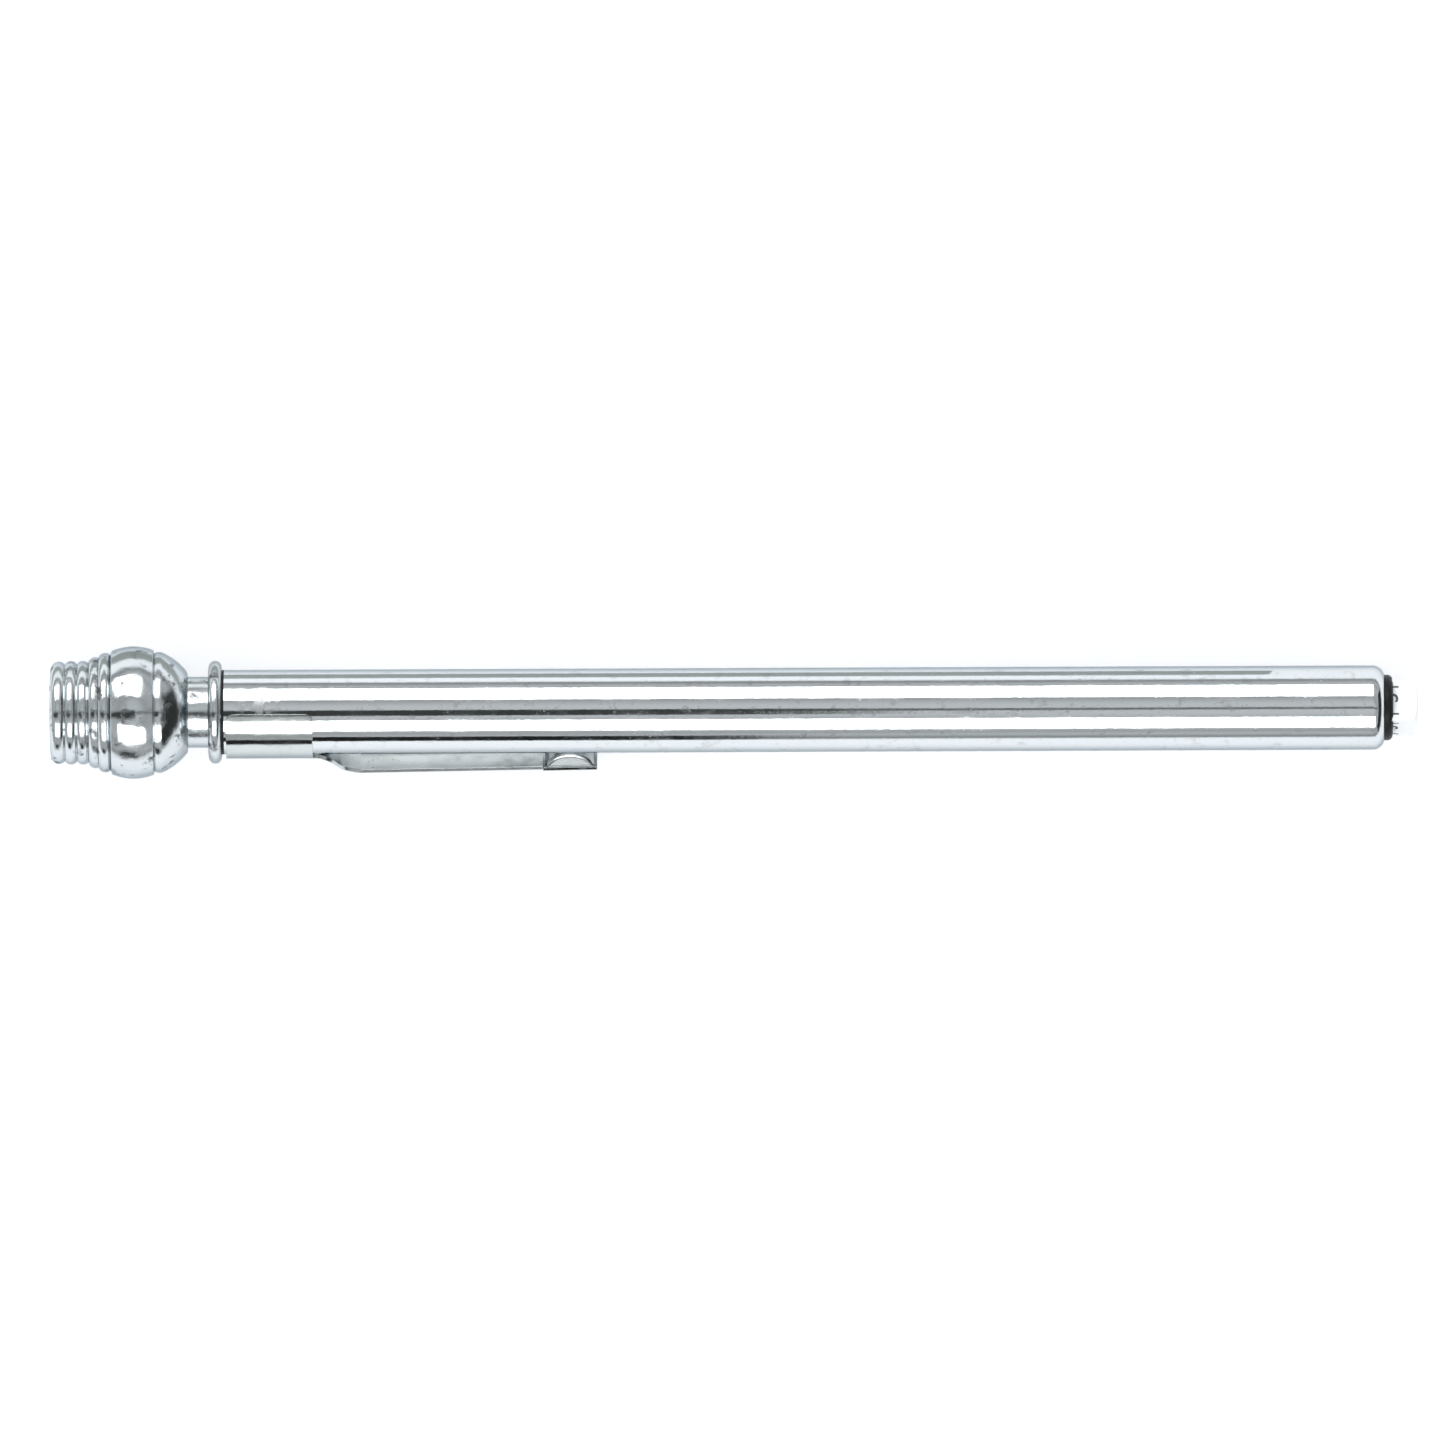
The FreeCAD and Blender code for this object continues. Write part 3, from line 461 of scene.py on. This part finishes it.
def add_ink_number(mesh, text, along, right, size, thick):
    """A printed number that reads from the bar's outer end. It is centred at along, and its last digit ends
    at right."""
    curve = bpy.data.curves.new("number", "FONT")
    curve.body = text
    curve.size = size
    curve.align_x = "RIGHT"
    curve.align_y = "CENTER"
    curve.extrude = thick / 2
    curve.offset = 0.02 * MM
    curve.resolution_u = 3
    holder = bpy.data.objects.new("number", curve)
    flat = bpy.data.meshes.new_from_object(holder)
    flat.transform(Matrix.Translation((along, right, thick / 2)) @ Matrix.Rotation(math.pi / 2, 4, "Z"))
    mesh.from_mesh(flat)
    bpy.data.objects.remove(holder)
    bpy.data.meshes.remove(flat)
    bpy.data.curves.remove(curve)


def make_printed_scale():
    """The scale in pounds per square inch: rails, a tick a pound, and a number every five, on each of four
    faces. The first number stands at the guide's rim while the gauge is at rest."""
    ink = make_scale_ink()
    low_reading, high_reading, number_step = 5, 50, 5
    thick = 0.012 * MM
    rail_apart, rail_wide, rail_shift = 1.63 * MM, 0.2 * MM, -0.12 * MM
    tick_wide, short_tick, long_tick = 0.14 * MM, 0.45 * MM, 0.7 * MM
    number_high, number_right = 2.5 * MM, 0.95 * MM
    roll = math.radians(21.3)
    half = 2.5 * MM
    guide_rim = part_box("end_guide")[1].x
    travel = travel_of("indicator_slide")
    pound = travel / (high_reading - low_reading)
    rail_out, rail_in = guide_rim + 0.65 * MM, guide_rim - travel - 1.2 * MM
    first = guide_rim - 0.2 * MM
    tick_foot = rail_apart + rail_wide / 2
    for face in range(4):
        mesh = bmesh.new()
        for side in (-1, 1):
            middle = side * rail_apart
            add_ink_patch(mesh, (rail_in, middle - rail_wide / 2), (rail_out, middle + rail_wide / 2), thick)
        for reading in range(low_reading, high_reading + 1):
            along = first - (reading - low_reading) * pound
            numbered = reading % number_step == 0
            tick = long_tick if numbered else short_tick
            for side in (-1, 1):
                ends = sorted((side * tick_foot, side * (tick_foot + tick)))
                add_ink_patch(mesh, (along - tick_wide / 2, ends[0]), (along + tick_wide / 2, ends[1]), thick)
            if numbered:
                add_ink_number(mesh, str(reading), along, number_right, number_high, thick)
        turn = Matrix.Rotation(-roll + face * math.pi / 2, 4, "X")
        mesh.transform(turn @ Matrix.Translation((0, rail_shift, half)))
        data = bpy.data.meshes.new(f"printed_scale_{face + 1}")
        mesh.to_mesh(data)
        mesh.free()
        data.materials.append(ink)
        scale = bpy.data.objects.new(data.name, data)
        bpy.context.scene.collection.objects.link(scale)
        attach(scale, "indicator")


make_printed_scale()


# Pocket clip: stamped from spring steel, nickel plated and a little duller than the tube. Its band is rolled
# round two thirds of the tube and grips it, and the pressed boss at the arm's tip holds the edge of a pocket.
clip_plate = make_plate("clip_plate_finish", depth=0.005 * MM, edge=0.12 * MM,
                        Plate_Color=(0.47, 0.5, 0.5, 1), Polish=0.09, Haze=0.12, Scratches=0.7, Pits=0.7,
                        Stains=0.15, Waves=6.0, Grain=0.6)
dress(clip_plate, "pocket_clip")


# Table: a plain white top. The gauge rests on its ball and on its clip or tube, whichever reaches lower, so
# the table meets it at a slight slope.
def make_table():
    ball_foot = min((v.co for v in nodes["head_body"].data.vertices), key=lambda point: point.z)
    resting = [v.co for name in ("pocket_clip", "tube") for v in nodes[name].data.vertices]
    slope = min((point.z - ball_foot.z) / (point.x - ball_foot.x) for point in resting)
    reach = 2.5
    corners = [(x, y, ball_foot.z + (x - ball_foot.x) * slope)
               for x, y in ((-reach, -reach), (reach, -reach), (reach, reach), (-reach, reach))]
    mesh = bpy.data.meshes.new("table")
    mesh.from_pydata(corners, [], [(0, 1, 2, 3)])
    table = bpy.data.objects.new("table", mesh)
    bpy.context.scene.collection.objects.link(table)
    white, shader = new_finish("table_white_finish")
    shader.inputs["Base Color"].default_value = (0.95, 0.95, 0.97, 1)
    shader.inputs["Roughness"].default_value = 0.9
    shader.inputs["Specular IOR Level"].default_value = 0.2
    table.data.materials.append(white)


make_table()


# Studio: a wide softbox over each side under a pale ceiling. Black and grey cards, which only the plating
# mirrors, stand for the camera's boom overhead, a stand in front and a dark wall beyond the tail. A grey
# card lying on the table behind the gauge is painted shade: in the plating it stands for the gauge's own
# shadow on the table.
def add_softbox(name, angle, spread, centre, power):
    """A soft light over one side. angle is from straight up, towards +Y; spread is how wide it looks from
    below."""
    distance, length = 1.0, 1.0
    lamp = bpy.data.lights.new(name, "AREA")
    lamp.shape = "RECTANGLE"
    lamp.size = length
    lamp.size_y = 2 * distance * math.tan(math.radians(spread / 2))
    lamp.energy = power
    light = bpy.data.objects.new(name, lamp)
    lean = math.radians(angle)
    light.location = (centre, math.sin(lean) * distance, math.cos(lean) * distance)
    light.rotation_euler = (-lean, 0, 0)
    bpy.context.scene.collection.objects.link(light)


def add_card(name, shade, corners):
    """A card of even grey, a touch green, that only mirrored light meets."""
    mesh = bpy.data.meshes.new(name)
    mesh.from_pydata(corners, [], [(0, 1, 2, 3)])
    card = bpy.data.objects.new(name, mesh)
    bpy.context.scene.collection.objects.link(card)
    material, shader = new_finish(name + "_finish")
    shader.inputs["Base Color"].default_value = (shade, shade * 1.05, shade, 1)
    shader.inputs["Roughness"].default_value = 1.0
    shader.inputs["Specular IOR Level"].default_value = 0.0
    card.data.materials.append(material)
    card.visible_camera = False
    card.visible_shadow = False
    card.visible_diffuse = False


def level_card(name, shade, left, right, front, back, height):
    """A card that lies level, left and right along the gauge."""
    add_card(name, shade, [(left, front, height), (right, front, height), (right, back, height),
                           (left, back, height)])


def make_ceiling():
    """Light from every side, a touch blue. Its level goes by height, from the horizon at 0 to straight up
    at 1."""
    world = bpy.data.worlds.new("ceiling")
    bpy.context.scene.world = world
    world.use_nodes = True
    tree = world.node_tree
    where = tree.nodes.new("ShaderNodeTexCoord")
    split = tree.nodes.new("ShaderNodeSeparateXYZ")
    ramp = tree.nodes.new("ShaderNodeValToRGB")
    feed(split.inputs["Vector"], where.outputs["Generated"])
    feed(ramp.inputs["Fac"], split.outputs["Z"])
    stops = [(0.0, 1.5), (0.04, 1.2), (0.08, 0.42), (0.13, 0.42), (0.3, 0.75), (0.45, 0.55), (0.56, 0.75),
             (0.88, 0.55), (0.98, 0.85)]
    while len(ramp.color_ramp.elements) < len(stops):
        ramp.color_ramp.elements.new(0.5)
    for element, (height, level) in zip(ramp.color_ramp.elements, stops):
        element.position = height
        element.color = (level * 0.98, level, level * 1.01, 1)
    sky = tree.nodes["Background"]
    sky.inputs["Strength"].default_value = 1.0
    feed(sky.inputs["Color"], ramp.outputs["Color"])


def make_studio():
    add_softbox("softbox_rear", angle=49.2, spread=32.5, centre=-0.22, power=9.5)
    add_softbox("softbox_front", angle=-39.8, spread=29.0, centre=-0.05, power=8.5)
    boom_end, boom_high = 0.095, 0.9
    level_card("boom_card", 0.045, left=-1.6, right=boom_end, front=-0.19, back=0.055, height=boom_high)
    level_card("boom_end_card", 0.16, left=boom_end, right=0.9, front=-0.05, back=0.04, height=boom_high)
    # Painted shade: this grey card lies just behind the gauge and is seen only in the plating. It stands for
    # the gauge's own shadow on the table.
    level_card("painted_shade_card", 0.34, left=-0.4, right=0.138, front=0.0145, back=0.034, height=-0.005)
    left, right, front, foot, top = -0.19, 0.08, -0.5, 0.015, 0.15
    add_card("stand_card", 0.015, [(left, front, foot), (right, front, foot), (right, front, top),
                                   (left, front, top)])
    wall, near, far, foot, top = 1.2, -1.5, 0.8, 0.2, 0.95
    add_card("wall_card", 0.04, [(wall, near, foot), (wall, far, foot), (wall, far, top), (wall, near, top)])
    make_ceiling()


make_studio()


# Camera: straight above the gauge and far off, through a long lens that grows with the distance, so that the
# gauge always looks the same size.
def make_camera():
    middle = (cad_low + cad_high) / 2
    shift_x, shift_y = -1.36 * MM, -1.39 * MM
    away = 2.6
    lens_a_metre = 221.0
    lens = bpy.data.cameras.new("camera")
    lens.lens = lens_a_metre * away
    lens.sensor_width = 36.0
    camera = bpy.data.objects.new("camera", lens)
    camera.location = (middle.x + shift_x, shift_y, away)
    camera.rotation_euler = (0, 0, math.radians(-0.23))
    bpy.context.scene.collection.objects.link(camera)
    bpy.context.scene.camera = camera
    bpy.context.scene.view_settings.view_transform = "Standard"


make_camera()
